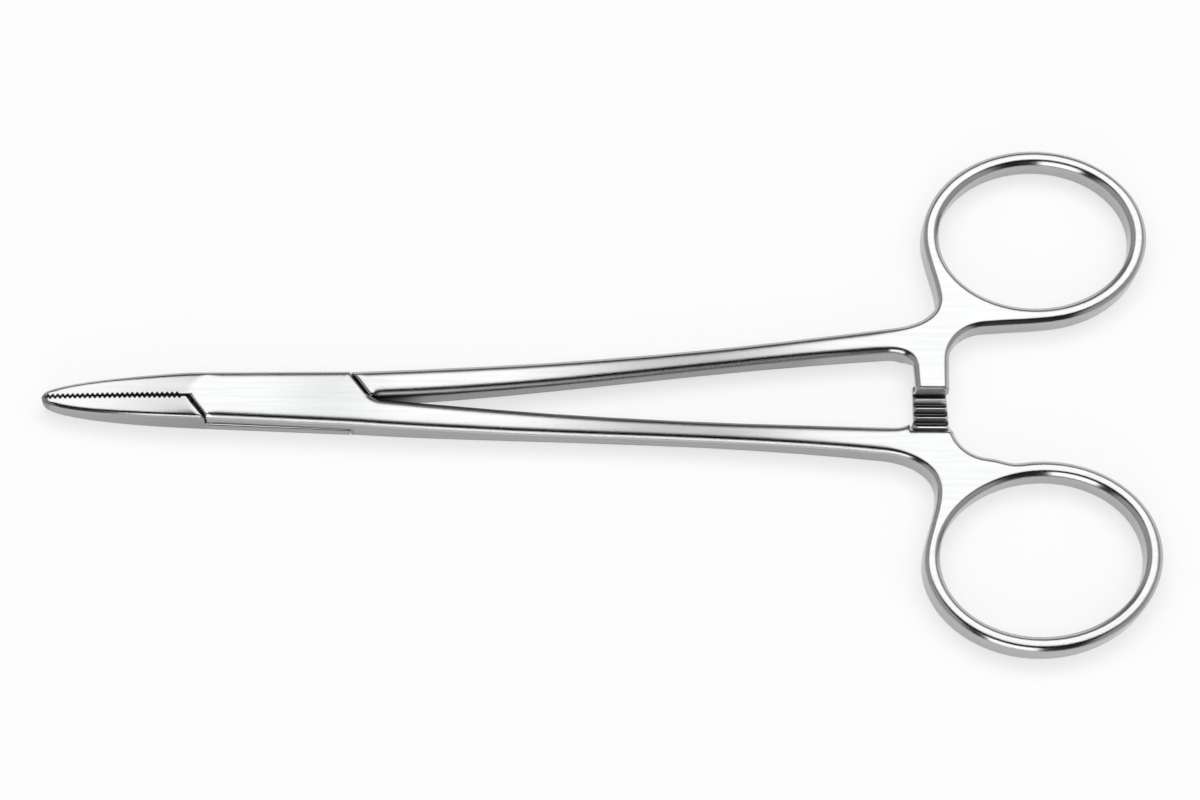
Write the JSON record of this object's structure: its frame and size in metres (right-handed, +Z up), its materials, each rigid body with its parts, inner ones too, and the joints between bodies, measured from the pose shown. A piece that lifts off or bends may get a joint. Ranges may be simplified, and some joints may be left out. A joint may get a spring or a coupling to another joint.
{
  "type": "surgical needle holder",
  "caption": "Ring-handled surgical needle holder with tapered serrated jaws, a lap joint on one pin, slim shanks and a ratchet lock between oval finger rings.",
  "frame": {"origin": "on the joint pin's axis, at the flat underside of the joint", "axes": "+X from the joint towards the finger rings, +Y towards the ring of the half that lies underneath at the joint, +Z up out of the joint's flat side"},
  "size_m": [0.1597, 0.0776, 0.0046],
  "materials": {
    "half_steel": "satin polished stainless steel",
    "pin_steel": "ground stainless steel"
  },
  "bodies": {
    "lower_jaw_half": {"under_half": "half_steel"},
    "upper_jaw_half": {"top_half": "half_steel", "joint_pin": "pin_steel"}
  },
  "joints": [
    {"name": "jaw_hinge", "type": "hinge", "parent": "lower_jaw_half", "child": "upper_jaw_half", "pos_m": [0, 0, 0], "axis": [0, 0, -1], "range_deg": [0, 35]}
  ]
}
